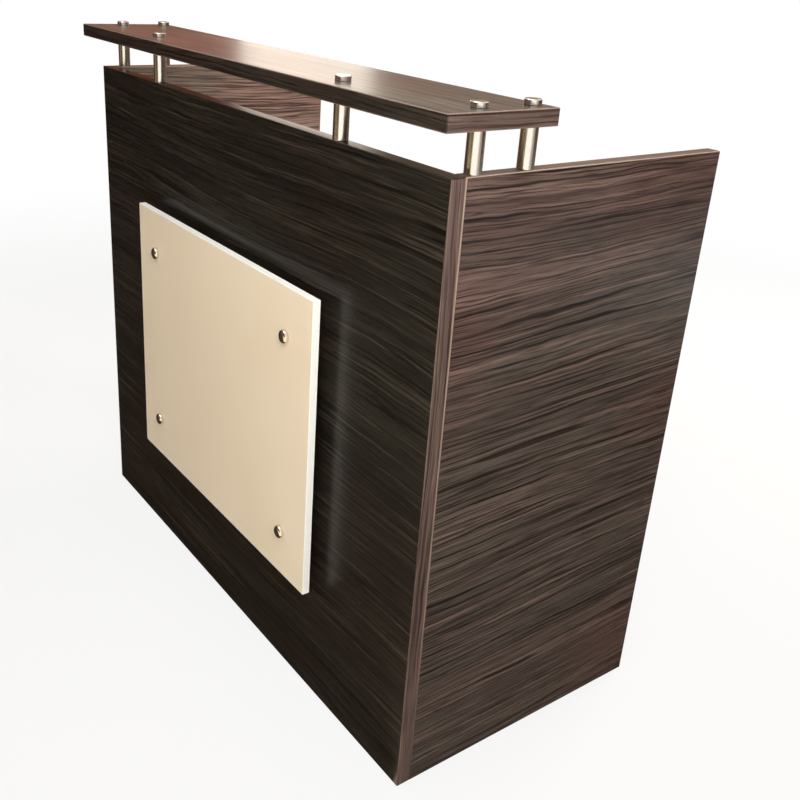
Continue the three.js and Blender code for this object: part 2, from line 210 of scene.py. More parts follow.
# Zinc-plated pressed steel: cool grey with a cloudy passivated bloom and fine rolling marks.
def zincFinish(name, look):
    finish, tree, shader = newFinish(name)
    place = addNode(tree, "TexCoord").outputs["Object"]
    bloom = drawnNoise(tree, place, (7 * mm,) * 3, detail=3.0)
    rolled = drawnNoise(tree, place, (0.8 * mm, 30 * mm, 0.8 * mm), detail=2.0)
    colour = addNode(tree, "Mix", {0: bloom, 6: linearColour(look["dark"]), 7: linearColour(look["light"])},
                     data_type="RGBA")
    gloss = addNode(tree, "MapRange", {"Value": bloom, "From Min": 0.3, "From Max": 0.7,
                                       "To Min": look["roughness"] - 0.08,
                                       "To Max": look["roughness"] + 0.08})
    relief = addNode(tree, "Bump", {"Strength": 0.1, "Distance": 0.05 * mm, "Height": rolled})
    tree.links.new(colour.outputs[2], shader.inputs["Base Color"])
    tree.links.new(gloss.outputs[0], shader.inputs["Roughness"])
    tree.links.new(relief.outputs[0], shader.inputs["Normal"])
    shader.inputs["Metallic"].default_value = 1.0
    return finish


# Melamine-faced board: pale and even, pressed with a fine pearl texture that dulls its shine.
def melamineFinish(name, look):
    finish, tree, shader = newFinish(name)
    place = addNode(tree, "TexCoord").outputs["Object"]
    pearl = drawnNoise(tree, place, (1.2 * mm,) * 3, detail=2.0)
    cloud = drawnNoise(tree, place, (60 * mm,) * 3, detail=3.0)
    colour = addNode(tree, "Mix", {0: cloud, 6: linearColour(look["dark"]), 7: linearColour(look["light"])},
                     data_type="RGBA")
    gloss = addNode(tree, "MapRange", {"Value": pearl, "To Min": look["roughness"] - 0.08,
                                       "To Max": look["roughness"] + 0.08})
    relief = addNode(tree, "Bump", {"Strength": 0.2, "Distance": 0.1 * mm, "Height": pearl})
    tree.links.new(colour.outputs[2], shader.inputs["Base Color"])
    tree.links.new(gloss.outputs[0], shader.inputs["Roughness"])
    tree.links.new(relief.outputs[0], shader.inputs["Normal"])
    return finish


# Planed beech: straight pinkish-tan grain with short dark ray flecks, left matt.
def beechFinish(name, look):
    finish, tree, shader = newFinish(name)
    place = addNode(tree, "Attribute", attribute_name="grain").outputs["Vector"]
    grain = drawnNoise(tree, place, (240 * mm, 7 * mm, 7 * mm), detail=3.0)
    fleck = drawnNoise(tree, place, (5 * mm, 0.8 * mm, 0.8 * mm), detail=1.0)
    grain = addNode(tree, "MapRange", {"Value": grain, "From Min": 0.3, "From Max": 0.7}).outputs[0]
    fleck = addNode(tree, "MapRange", {"Value": fleck, "From Min": 0.62, "From Max": 0.7,
                                       "To Max": 0.55}).outputs[0]
    colour = addNode(tree, "Mix", {0: grain, 6: linearColour(look["dark"]), 7: linearColour(look["light"])},
                     data_type="RGBA").outputs[2]
    colour = addNode(tree, "Mix", {0: fleck, 6: colour, 7: linearColour(look["fleck"])},
                     data_type="RGBA").outputs[2]
    gloss = addNode(tree, "MapRange", {"Value": grain, "To Min": 0.52, "To Max": 0.64})
    relief = addNode(tree, "Bump", {"Strength": 0.15, "Distance": 0.1 * mm, "Height": grain})
    tree.links.new(colour, shader.inputs["Base Color"])
    tree.links.new(gloss.outputs[0], shader.inputs["Roughness"])
    tree.links.new(relief.outputs[0], shader.inputs["Normal"])
    return finish


wengeLook = {"dark": "#4f3b34", "light": "#674e46", "oliveDark": "#483f38", "oliveLight": "#5a5047",
             "pale": "#876d63", "line": "#1f1511", "vein": "#120b09", "scrapeAndHighlightColour": "#a58d7c",
             "roughness": 0.3, "specular": 0.3}
wengeLaminate = laminateFinish("wengeLaminate", wengeLook)
# the sheet on the visitor's side is drawn darker, as painted shade, and so are the bands that turn to the
# floor and the front panel's top edge
paintedShadeWengeLaminate = laminateFinish("paintedShadeWengeLaminate", {
    **wengeLook, "dark": "#1e1815", "light": "#2f2720", "oliveDark": "#1d1a15", "oliveLight": "#2f2b23",
    "pale": "#51473c", "line": "#100c0a", "vein": "#0b0806"})
# a copy between the two, painted half shade, for the counter's front band
paintedHalfShadeWengeLaminate = laminateFinish("paintedHalfShadeWengeLaminate", {
    **wengeLook, "dark": "#30231d", "light": "#402f28", "oliveDark": "#2d2822", "oliveLight": "#39332b",
    "pale": "#54443c", "line": "#17100d", "vein": "#0f0907"})
wengeEdgeBand = laminateFinish("wengeEdgeBand", {
    **wengeLook, "dark": "#57433e", "light": "#6c5851", "oliveDark": "#53433c", "oliveLight": "#69584f",
    "line": "#35261f", "vein": "#2b1e1a"})
creamLacquer = lacquerFinish("creamLacquer", {"dark": "#f2dcbd", "light": "#f5e1c4", "roughness": 0.32,
                                              "specular": 0.35})
whiteEdgeBand = edgeBandFinish("whiteEdgeBand", {"dark": "#f5f2e8", "light": "#faf8f0"})
stainlessSteel = turnedSteelFinish("stainlessSteel", {"dark": "#dbd2c6", "light": "#eae2d6",
                                                      "roughness": 0.2})
zincSteel = zincFinish("zincSteel", {"dark": "#8b8f93", "light": "#aeb1b3", "roughness": 0.4})
paleMelamine = melamineFinish("paleMelamine", {"dark": "#c6c1b8", "light": "#cfcac2", "roughness": 0.5})
planedBeech = beechFinish("planedBeech", {"dark": "#a97c52", "light": "#c49a6c", "fleck": "#8d6440"})
print("finishes made:", len(bpy.data.materials))


# Surfaces

# Quads of a grid of points; rows, columns or both run round and meet their own start.
def gridFaces(rows, columns, ringRows=False, ringColumns=True):
    i, j = np.meshgrid(np.arange(rows - (not ringRows)), np.arange(columns - (not ringColumns)),
                       indexing="ij")
    nextI, nextJ = (i + 1) % rows, (j + 1) % columns
    quads = np.stack([i * columns + j, i * columns + nextJ, nextI * columns + nextJ,
                      nextI * columns + j], -1)
    return quads.reshape(-1, 4).tolist()


# Eased corners: each corner gives way to a quadratic curve that leaves and meets its two sides
# the given reach away from it. An open outline keeps its first and last point.
def easeCorners(corners, reach, steps=5, ring=True):
    corners = np.asarray(corners, float)
    reach = np.broadcast_to(reach, len(corners))[:, None]

    def stepTo(neighbour):
        way = neighbour - corners
        return corners + way / np.linalg.norm(way, axis=1, keepdims=True) * reach

    start, end = stepTo(np.roll(corners, 1, 0)), stepTo(np.roll(corners, -1, 0))
    t = np.linspace(0, 1, steps)[:, None, None]
    curves = ((1 - t) ** 2 * start + 2 * t * (1 - t) * corners + t ** 2 * end).transpose(1, 0, 2)
    if ring:
        return curves.reshape(-1, 2)
    return np.vstack([corners[:1], curves[1:-1].reshape(-1, 2), corners[-1:]])


# Rings of a rounded rectangle: each corner is an arc about a centre one radius inside both sides.
# An inset moves all sides inwards and shortens the radius. The rings start halfway round a corner.
def rectangleRings(half, corner, insets, steps=5):
    angle = np.arange(4)[:, None] * math.pi / 2 + np.linspace(0, math.pi / 2, steps)
    arc = np.stack([np.cos(angle), np.sin(angle)], -1)
    sides = np.array([[1, 1], [-1, 1], [-1, -1], [1, -1]])[:, None]
    insets = np.asarray(insets)[:, None, None, None]
    radius = np.maximum(corner - insets, 0.05 * mm)
    rings = sides * (np.asarray(half) - insets - radius) + radius * arc
    return np.roll(rings.reshape(len(insets), -1, 2), -(2 * steps + steps // 2), axis=1)


# Puts a mesh in the scene as a piece: doubles merged, faces outwards, flat faces kept flat.
def addPiece(name, points, faces, finish, body, replaced=(), attributes=None):
    mesh = bpy.data.meshes.new(name)
    mesh.from_pydata(np.reshape(points, (-1, 3)).tolist(), [], faces)
    for key, values in (attributes or {}).items():
        values = np.asarray(values, np.float32)
        if values.ndim > 1 and values.shape[-1] == 3:
            mesh.attributes.new(key, "FLOAT_VECTOR", "POINT").data.foreach_set("vector", values.ravel())
        else:
            mesh.attributes.new(key, "FLOAT", "POINT").data.foreach_set("value", values.ravel())
    work = bmesh.new()
    work.from_mesh(mesh)
    bmesh.ops.remove_doubles(work, verts=work.verts, dist=1e-6)
    bmesh.ops.recalc_face_normals(work, faces=work.faces)
    work.to_mesh(mesh)
    work.free()
    mesh.shade_smooth()
    mesh.set_sharp_from_angle(angle=math.radians(35))
    mesh.materials.append(finish)
    piece = bpy.data.objects.new(name, mesh)
    bpy.context.scene.collection.objects.link(piece)
    piece.modifiers.new("flatFaces", "WEIGHTED_NORMAL").keep_sharp = True
    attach(piece, body)
    if replaced:
        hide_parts(*replaced)
    return piece


# A node's box turned to a board's own axes: along the grain, across it, through the thickness.
def boardBox(node, grain, through):
    low, high = (np.array(corner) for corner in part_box(node))
    order = [grain, 3 - grain - through, through]
    origin = ((low + high) / 2)[order]
    origin[2] = low[through]
    size = (high - low)[order]
    return order, origin, size


def placeBoard(local, order, origin):
    placed = np.empty_like(local)
    placed[..., order] = local + origin
    return placed


# Slab: rings of a rounded rectangle carried up an eased edge, closed by two flat faces.
# A hole is a ring of wall between two depths; one that stops inside gets a flat end.
def slab(half, thickness, corner, ease, holes=()):
    bend = np.linspace(0, math.pi / 2, 4)
    inset, height = ease * (1 - np.sin(bend)), ease * (1 - np.cos(bend))
    rings = rectangleRings(half, corner, np.concatenate([inset, inset[::-1]]))
    heights = np.concatenate([height, thickness - height[::-1]])
    rows, columns = rings.shape[:2]
    points = np.dstack([rings, np.broadcast_to(heights[:, None], (rows, columns))]).reshape(-1, 3)
    faces = gridFaces(rows, columns)
    loops = [[np.arange(columns)], [np.arange(columns) + (rows - 1) * columns]]
    angle = np.linspace(0, 2 * math.pi, 40, endpoint=False)
    for along, across, radius, start, end in holes:
        first = len(points)
        wall = [np.stack([along + radius * np.cos(angle), across + radius * np.sin(angle),
                          np.full(40, depth)], -1) for depth in (start, end)]
        points = np.vstack([points, *wall])
        faces += (np.array(gridFaces(2, 40)) + first).tolist()
        for loop, depth, level, face in ((0, start, 0, loops[0]), (1, end, thickness, loops[1])):
            ring = np.arange(40) + first + 40 * loop
            if abs(depth - level) < 1e-7:
                face.append(ring)
            else:
                faces.append(ring.tolist())
    for face in loops:
        index = np.concatenate(face)
        outlines = [[Vector((*points[i][:2], 0)) for i in ring] for ring in face]
        if len(face) == 1:
            faces.append(index.tolist())
        else:
            faces += [[int(index[i]) for i in triangle] for triangle in tessellate_polygon(outlines)]
    return points, faces


# Edge band: a strip section, eased at its two outer edges, carried round the board's outline.
# The eased edges are marked to be painted pale, partly as scrape and partly as painted highlight, and the
# mark fades out just beside them.
def edgeBand(half, thickness, corner, depth, ease):
    bend = np.linspace(0, math.pi / 2, 6)
    fade = 0.35 * mm
    inset = np.concatenate([[depth, ease + fade], ease * (1 - np.sin(bend)), [0]])
    height = np.concatenate([[0, 0], ease * (1 - np.cos(bend)), [ease + fade]])
    scrapeAndHighlight = np.array([0, 0, *np.ones(6), 0])
    inset, scrapeAndHighlight = np.concatenate([inset, inset[::-1]]), np.concatenate([scrapeAndHighlight, scrapeAndHighlight[::-1]])
    height = np.concatenate([height, thickness - height[::-1]])
    rings = rectangleRings(half, corner, inset)
    rows, columns = rings.shape[:2]
    along = np.linalg.norm(np.diff(rings[rows // 2], axis=0), axis=1).cumsum()
    across = np.hypot(np.diff(inset), np.diff(height)).cumsum()
    along, across = np.insert(along, 0, 0), np.insert(across, 0, 0)
    spread = np.zeros((rows, columns))
    points = np.dstack([rings, spread + height[:, None]]).reshape(-1, 3)
    grain = np.dstack([spread + along, spread + across[:, None], spread]).reshape(-1, 3)
    return points, gridFaces(rows, columns, ringRows=True), grain, spread + scrapeAndHighlight[:, None]


bandedBoards = {
    "bandDepth": 2 * mm, "bandEase": 1.3 * mm, "corner": 1.6 * mm, "seam": 0.04 * mm,
    # edges near the floor get no pale edge, neither scrape nor painted highlight
    "noPaleEdgeBelow": 10 * mm,  # edges this near the floor keep their colour
    # node: grain axis, thickness axis, body, finish of the low and the high face, finish of the band
    # (or of its first strip, the axis along which that comes first, of the rest, and of its last
    # strip), and how far the band's edges beside the low and the high face are painted pale, partly as
    # scrape and partly as painted highlight on the sides the light falls on
    # the darker copies of the sheet are painted shade: on the front panel's visitor face and its top and
    # bottom strips, on the strips at the floor, and, as painted half shade, on the counter's front strip
    "boards": {
        "front_panel": (0, 1, "desk", (paintedShadeWengeLaminate, wengeLaminate),
                        (paintedShadeWengeLaminate, 2, wengeEdgeBand, paintedShadeWengeLaminate), (0.08, 0.6)),
        "left_end_panel": (1, 0, "desk", (wengeLaminate,),
                           (paintedShadeWengeLaminate, 2, wengeEdgeBand), (0.5, 0.5)),
        "right_end_panel": (1, 0, "desk", (wengeLaminate,),
                            (paintedShadeWengeLaminate, 2, wengeEdgeBand), (0.5, 0.9)),
        "counter_board": (0, 2, "desk", (wengeLaminate,),
                          (paintedHalfShadeWengeLaminate, 1, wengeEdgeBand), (0.45, 0.45)),
        "work_surface": (0, 2, "desk", (wengeLaminate,), (wengeEdgeBand,), (0.25, 0.25)),
        "bay_partition": (1, 0, "desk", (wengeLaminate,),
                          (paintedShadeWengeLaminate, 2, wengeEdgeBand), (0.25, 0.25)),
        "bay_shelf": (0, 2, "desk", (wengeLaminate,), (wengeEdgeBand,), (0.25, 0.25)),
        "drawer_front": (0, 1, "drawer", (wengeLaminate,), (wengeEdgeBand,), (0.25, 0.25)),
    },
    # board: the nodes whose holes it has, each hole's radius, and how deep they go from the low face
    "holes": {
        "counter_board": ("counter_cap_", 4.3 * mm, None),
        "front_panel": ("fascia_bolt_", 4.3 * mm, 18.3 * mm),
        "drawer_front": ("lock_housing", 8.8 * mm, None),
        "fascia_panel": ("fascia_cap_", 4.3 * mm, None),
    },
}


def boardHoles(node, order, origin, thickness):
    if node not in bandedBoards["holes"]:
        return []
    start, radius, depth = bandedBoards["holes"][node]
    middles = [np.mean([np.array(corner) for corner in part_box(other)], axis=0)
               for other in sorted(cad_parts) if other.startswith(start)]
    places = [middle[order] - origin for middle in middles]
    return [(place[0], place[1], radius, 0.0, depth or thickness) for place in places]


# Gives a further finish to the faces that lie beyond a level along an axis.
def finishBeyond(piece, finish, axis, level):
    piece.data.materials.append(finish)
    polygons = piece.data.polygons
    middles, finishes = np.empty(3 * len(polygons)), np.empty(len(polygons), np.int32)
    polygons.foreach_get("center", middles)
    polygons.foreach_get("material_index", finishes)
    finishes[middles.reshape(-1, 3)[:, axis] > level] = len(piece.data.materials) - 1
    polygons.foreach_set("material_index", finishes)


def bandedBoard(node, grain, through, body, faceFinishes, bandFinishes, scrapeAndHighlightShares, slot, shift, look):
    order, origin, size = boardBox(node, grain, through)
    depth = look["bandDepth"]
    inner = size[:2] / 2 - depth - look["seam"]
    points, faces = slab(inner, size[2], 0.4 * mm, 0.25 * mm, boardHoles(node, order, origin, size[2]))
    fibre = points + origin + np.array(shift)
    board = addPiece(node + "_face", placeBoard(points, order, origin), faces, faceFinishes[0], body,
                     [node], {"grain": fibre, "scrapeAndHighlight": np.zeros(len(points))})
    for finish in faceFinishes[1:]:
        finishBeyond(board, finish, through, origin[2] + size[2] / 2)
    points, faces, fibre, scrapeAndHighlight = edgeBand(size[:2] / 2, size[2], look["corner"], depth, look["bandEase"])
    placed = placeBoard(points, order, origin)
    scrapeAndHighlight = np.where(points[:, 2] < size[2] / 2, *scrapeAndHighlightShares) * scrapeAndHighlight.ravel()
    scrapeAndHighlight *= placed[:, 2] > look["noPaleEdgeBelow"]
    band = addPiece(node + "_band", placed, faces, bandFinishes[0], body, (),
                    {"grain": fibre + np.array(shift) * 2.3, "scrapeAndHighlight": scrapeAndHighlight})
    if len(bandFinishes) > 1:
        axis, finishes = bandFinishes[1], bandFinishes[2:]
        levels = placed[:, axis].min() + depth, placed[:, axis].max() - depth
        for finish, level in zip(finishes, levels):
            finishBeyond(band, finish, axis, level)


for number, (node, entry) in enumerate(bandedBoards["boards"].items()):
    shift = (1.71 * number + 0.4, 0.83 * number + 0.2, 1.13 * number)
    bandedBoard(node, *entry, "dark_laminate", shift, bandedBoards)
print("laminate boards made:", len(bandedBoards["boards"]))

fascia = {"bandDepth": 1.5 * mm, "bandEase": 0.8 * mm, "corner": 1.2 * mm, "seam": 0.04 * mm,
          "noPaleEdgeBelow": 0}
bandedBoard("fascia_panel", 0, 1, "desk", (creamLacquer,), (whiteEdgeBand,), (0, 0), "pale_fascia",
            (0, 0, 0), fascia)
print("fascia made")

plainBoards = {
    # node: grain axis, thickness axis, body, finish, slot, edge ease
    "support_rail_left": (1, 0, "desk", planedBeech, "beech", 2 * mm),
    "support_rail_right": (1, 0, "desk", planedBeech, "beech", 2 * mm),
    "support_rail_front": (0, 1, "desk", planedBeech, "beech", 2 * mm),
    "drawer_side_left": (1, 0, "drawer", paleMelamine, "pale_melamine", 0.8 * mm),
    "drawer_side_right": (1, 0, "drawer", paleMelamine, "pale_melamine", 0.8 * mm),
    "drawer_back": (0, 1, "drawer", paleMelamine, "pale_melamine", 0.8 * mm),
    "drawer_bottom": (0, 2, "drawer", paleMelamine, "pale_melamine", 0.5 * mm),
    "lock_strike": (0, 1, "desk", zincSteel, "zinc_steel", 0.6 * mm),
}
for number, (node, (grain, through, body, finish, slot, ease)) in enumerate(plainBoards.items()):
    order, origin, size = boardBox(node, grain, through)
    points, faces = slab(size[:2] / 2, size[2], 1.3 * ease, ease)
    fibre = points + origin + 0.37 * number
    addPiece(node + "_board", placeBoard(points, order, origin), faces, finish, body, [node],
             {"grain": fibre})
print("rails and drawer boards made:", len(plainBoards))


# Turned piece: pairs of radius and height carried round an axis. The height starts at the node's
# far end and runs along the axis, which is up, or out towards the visitor or the staff side.
def turnedPiece(name, node, profile, axis, finish, body, closed=False, sides=48):
    low, high = (np.array(corner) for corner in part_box(node))
    index = int(np.argmax(np.abs(axis)))
    base = (low + high) / 2
    base[index] = low[index] if axis[index] > 0 else high[index]
    across = np.roll(np.eye(3), 1, axis=0)[index], np.roll(np.eye(3), 2, axis=0)[index]
    angle = np.linspace(0, 2 * math.pi, sides, endpoint=False)
    ring = np.cos(angle)[:, None] * across[0] + np.sin(angle)[:, None] * across[1]
    radius, height = profile[:, 0, None, None], profile[:, 1, None, None]
    points = base + radius * ring + height * np.array(axis)
    turn = np.zeros((len(profile), sides, 3))
    turn[..., :2] = profile[:, None, :]
    return addPiece(name, points, gridFaces(len(profile), sides, ringRows=closed), finish, body,
                    [node], {"turn": turn})


def nodeLength(node, index):
    low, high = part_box(node)
    return high[index] - low[index]


posts = {"radius": 12.5 * mm, "standoffRadius": 11 * mm, "bore": 4.3 * mm, "ease": 0.7 * mm}
caps = {"radius": 12.5 * mm, "thickness": 8 * mm, "bevel": 1.0 * mm, "stud": 4 * mm,
        "domeThickness": 9 * mm, "domeSide": 2 * mm, "domePower": 3,
        "ease": (0.1, 0.5 * mm, 0.3 * mm, 0.4 * mm, 0.4 * mm, 0.4 * mm, 0.1)}
up, towardsVisitor, towardsStaff = (0, 0, 1), (0, -1, 0), (0, 1, 0)


def barrel(node, radius, axis):
    length = nodeLength(node, 2 if axis == up else 1)
    corners = [(posts["bore"], 0), (radius, 0), (radius, length), (posts["bore"], length)]
    turnedPiece(node + "_turned", node, easeCorners(corners, posts["ease"]), axis, stainlessSteel,
                "desk", closed=True)


# A stud with a flat bevelled head, or with a domed one: a straight side, then a quarter of a
# superellipse from the rim to the axis, flatter in the face than an ellipse.
def buttonCap(node, axis, domed=False):
    length = nodeLength(node, 2 if axis == up else 1)
    thickness, rim, bevel, stud = caps["thickness"], caps["radius"], caps["bevel"], caps["stud"]
    if domed:
        thickness = caps["domeThickness"]
    seat = length - thickness
    corners = [(0, 0), (stud, 0), (stud, seat), (rim, seat), (rim, length - bevel),
               (rim - bevel, length), (0, length)]
    profile = easeCorners(corners, caps["ease"], ring=False)
    if domed:
        shoulder, crown = seat + caps["domeSide"], thickness - caps["domeSide"]
        angle = np.linspace(0, math.pi / 2, 24)
        share = np.stack([np.cos(angle), np.sin(angle)], -1).clip(0) ** (2 / caps["domePower"])
        dome = share * (rim, crown) + (0, shoulder)
        profile = np.vstack([profile[profile[:, 1] < shoulder], dome])
    turnedPiece(node + "_turned", node, profile, axis, stainlessSteel, "desk")


for node in sorted(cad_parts):
    if node.startswith("counter_post_"):
        barrel(node, posts["radius"], up)
    elif node.startswith("fascia_standoff_"):
        barrel(node, posts["standoffRadius"], towardsVisitor)
    elif node.startswith("counter_cap_"):
        buttonCap(node, up)
    elif node.startswith("fascia_cap_"):
        buttonCap(node, towardsVisitor, domed=True)
print("posts, standoffs and caps turned")

lockSleeve = {"bore": 6.3 * mm, "sleeve": 8.5 * mm, "flange": 11 * mm, "gap": 0.3 * mm,
              "flangeThickness": 3 * mm, "ease": 0.4 * mm}
lockLength = nodeLength("lock_housing", 1)
lockSeat = lockLength - lockSleeve["flangeThickness"] + lockSleeve["gap"]
sleeveCorners = [(lockSleeve["bore"], 0), (lockSleeve["sleeve"], 0), (lockSleeve["sleeve"], lockSeat),
                 (lockSleeve["flange"], lockSeat), (lockSleeve["flange"], lockLength),
                 (lockSleeve["bore"], lockLength)]
turnedPiece("lock_housing_turned", "lock_housing", easeCorners(sleeveCorners, lockSleeve["ease"]),
            towardsStaff, stainlessSteel, "drawer", closed=True)


# Bar or strip: a closed section carried along a flat path, square to it, ends closed flat. The
# section's second measure stands out of the path's plane and may shrink along the path.
def carriedBar(path, section, shrink=None):
    way = np.gradient(path, axis=0)
    way /= np.linalg.norm(way, axis=1, keepdims=True)
    side = np.stack([-way[:, 1], way[:, 0]], -1)
    flat = path[:, None] + section[None, :, :1] * side[:, None]
    rise = np.broadcast_to(section[None, :, 1:], flat.shape[:2] + (1,)).copy()
    if shrink is not None:
        rise -= np.sign(rise) * shrink[:, None, None]
    rows, columns = flat.shape[:2]
    ends = [list(range(columns)), list(range((rows - 1) * columns, rows * columns))]
    return np.concatenate([flat, rise], -1).reshape(-1, 3), gridFaces(rows, columns) + ends


def sectionOutline(width, height, ease):
    x, y = width / 2, height / 2
    return easeCorners([(-x, -y), (x, -y), (x, y), (-x, y)], ease)


# Path through corners with eased bends, with short steps so that its ends can be shaped.
def bentPath(corners, reach, ends=0, endSteps=6):
    path = easeCorners(corners, reach, steps=9, ring=False)
    if ends:
        t = (1 - np.cos(np.linspace(0, math.pi / 2, endSteps)))[:, None]
        first, last = path[0] - path[1], path[-1] - path[-2]
        first, last = first / np.linalg.norm(first), last / np.linalg.norm(last)
        path = np.vstack([path[0] - first * ends * t, path[1:-1], (path[-1] - last * ends * t)[::-1]])
    return path


drawerPull = {"bar": 9 * mm, "bend": 10 * mm, "ease": 1.4 * mm}
low, high = (np.array(corner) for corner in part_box("drawer_pull"))
halfBar = drawerPull["bar"] / 2
pullPath = bentPath([(low[0] + halfBar, low[1]), (low[0] + halfBar, high[1] - halfBar),
                     (high[0] - halfBar, high[1] - halfBar), (high[0] - halfBar, low[1])],
                    drawerPull["bend"])
points, faces = carriedBar(pullPath, sectionOutline(drawerPull["bar"], high[2] - low[2], drawerPull["ease"]))
points[:, 2] += (low[2] + high[2]) / 2
turn = np.stack([points[:, 2], points[:, 1], np.zeros(len(points))], -1)
addPiece("drawer_pull_bar", points, faces, stainlessSteel, "drawer", ["drawer_pull"],
         {"turn": turn})
print("drawer pull made")

brackets = {"thickness": 3 * mm, "bend": 5 * mm, "ease": 0.5 * mm, "cornerRound": 7 * mm,
            "names": ("left_low", "left_high", "right_low", "right_high")}
bracketSeats = []
for name in brackets["names"]:
    node = "corner_bracket_" + name
    low, high = (np.array(corner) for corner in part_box(node))
    half = brackets["thickness"] / 2
    wall, out = (low[0], 1) if name.startswith("left") else (high[0], -1)
    leg = high[0] - low[0]
    corners = [(wall + out * leg, low[1] + half), (wall + out * half, low[1] + half),
               (wall + out * half, high[1])]
    path = bentPath(corners, brackets["bend"], brackets["cornerRound"])
    run = np.concatenate([[0], np.cumsum(np.linalg.norm(np.diff(path, axis=0), axis=1))])
    left = np.clip(brackets["cornerRound"] - np.minimum(run, run[-1] - run), 0, None)
    shrink = brackets["cornerRound"] - np.sqrt(brackets["cornerRound"] ** 2 - left ** 2)
    points, faces = carriedBar(path, sectionOutline(2 * half, high[2] - low[2], brackets["ease"]), shrink)
    points[:, 2] += (low[2] + high[2]) / 2
    addPiece(node + "_angle", points, faces, zincSteel, "desk", [node])
    for level in (0.25, 0.75):
        z = low[2] + level * (high[2] - low[2])
        bracketSeats.append(((wall + out * 26 * mm, low[1] + 2 * half, z), (0, 1, 0)))
        bracketSeats.append(((wall + out * 2 * half, low[1] + 26 * mm, z), (out, 0, 0)))
print("corner brackets made:", len(brackets["names"]))

slides = {"wall": 1.5 * mm, "ease": 1.2 * mm, "innerEase": 0.5 * mm}
slideSeats = {"desk": [], "drawer": []}
for part, body in (("cabinet", "desk"), ("drawer", "drawer")):
    for side in ("left", "right"):
        node = f"{part}_slide_{side}"
        low, high = (np.array(corner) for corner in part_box(node))
        opensRight = (part == "cabinet") == (side == "left")
        web, out = (low[0], 1) if opensRight else (high[0], -1)
        middle, half, deep = (low[2] + high[2]) / 2, (high[2] - low[2]) / 2, high[0] - low[0]
        wall = slides["wall"]
        outline = [(0, -half), (deep, -half), (deep, wall - half), (wall, wall - half),
                   (wall, half - wall), (deep, half - wall), (deep, half), (0, half)]
        reach = [slides["ease"], 0.4 * mm, 0.4 * mm, slides["innerEase"],
                 slides["innerEase"], 0.4 * mm, 0.4 * mm, slides["ease"]]
        section = easeCorners(outline, reach)
        lengths = np.array([low[1], high[1]])
        points = np.empty((2, len(section), 3))
        points[..., 0] = web + out * section[:, 0]
        points[..., 1] = lengths[:, None]
        points[..., 2] = middle + section[:, 1]
        ends = [list(range(len(section))), list(range(len(section), 2 * len(section)))]
        addPiece(node + "_channel", points, gridFaces(2, len(section)) + ends, zincSteel, body,
                 [node])
        for share in (0.08, 0.5, 0.92):
            y = low[1] + share * (high[1] - low[1])
            slideSeats[body].append(((web + out * wall, y, middle), (out, 0, 0)))
print("drawer slides made")


# Pan-head screws: rings round each head's axis. The recess is a cross whose edge lies, in each
# direction, at the longer of its two arms; the head then swells to a dome and drops at its rim.
screws = {"radius": 3.6 * mm, "rise": 2.0 * mm, "armLength": 2.1 * mm, "armHalf": 0.55 * mm,
          "recess": 1.2 * mm}


def screwHeads(name, seats, finish, body):
    arm, armHalf, radius, rise = (screws[key] for key in ("armLength", "armHalf", "radius", "rise"))
    corner = math.atan2(armHalf, arm)
    quarter = np.array([0, corner / 2, corner, (corner + math.pi / 4) / 2, math.pi / 4])
    quarter = np.concatenate([quarter, math.pi / 2 - quarter[-2:0:-1]])
    angle = (np.arange(4)[:, None] * math.pi / 2 + quarter).ravel()
    c, s = np.abs(np.cos(angle)) + 1e-9, np.abs(np.sin(angle)) + 1e-9
    cross = np.maximum(np.minimum(arm / c, armHalf / s), np.minimum(arm / s, armHalf / c))
    steps = np.linspace(0, math.pi / 2, 5)
    dome = [(cross + (radius * math.sin(t) - cross) * share, rise * (0.35 + 0.65 * math.cos(t)))
            for t, share in zip(steps, np.linspace(0, 1, 5))]
    rings = [(0 * cross, rise - screws["recess"]), (cross * 0.8, rise - screws["recess"])]
    rings += dome + [(0 * cross + radius, 0.0), (0 * cross, 0.0)]
    r = np.array([ring[0] for ring in rings])
    z = np.array([ring[1] for ring in rings])[:, None]
    local = np.stack([r * np.cos(angle), r * np.sin(angle), np.broadcast_to(z, r.shape)], -1)
    heads, faces = [], np.array(gridFaces(*r.shape))
    for seat, axis in seats:
        index = int(np.argmax(np.abs(axis)))
        first, second = np.eye(3)[(index + 1) % 3], np.eye(3)[(index + 2) % 3]
        heads.append(np.array(seat) + local @ np.array([first, second, np.array(axis, float)]))
    count = r.size
    allFaces = np.concatenate([faces + count * k for k in range(len(seats))]).tolist()
    return addPiece(name, np.concatenate([head.reshape(-1, 3) for head in heads]), allFaces, finish,
                    body)


screwHeads("bracket_screws", bracketSeats, zincSteel, "desk")
screwHeads("cabinet_slide_screws", slideSeats["desk"], zincSteel, "desk")
screwHeads("drawer_slide_screws", slideSeats["drawer"], zincSteel, "drawer")

railSeats = []
for node, through, out in (("support_rail_left", 0, 1), ("support_rail_right", 0, -1),
                           ("support_rail_front", 1, 1)):
    low, high = (np.array(corner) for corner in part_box(node))
    for share in (0.1, 0.5, 0.9):
        seat = (low + high) / 2
        seat[1 - through] = low[1 - through] + share * (high - low)[1 - through]
        seat[through] = high[through] if out > 0 else low[through]
        railSeats.append((tuple(seat), tuple(out * np.eye(3)[through])))
screwHeads("rail_screws", railSeats, zincSteel, "desk")

low, high = (np.array(corner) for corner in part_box("drawer_pull"))
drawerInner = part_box("drawer_front")[0][1]
pullSeats = [((x, drawerInner, (low[2] + high[2]) / 2), (0, -1, 0))
             for x in (low[0] + halfBar, high[0] - halfBar)]
screwHeads("pull_screws", pullSeats, zincSteel, "drawer")
print("screw heads made")

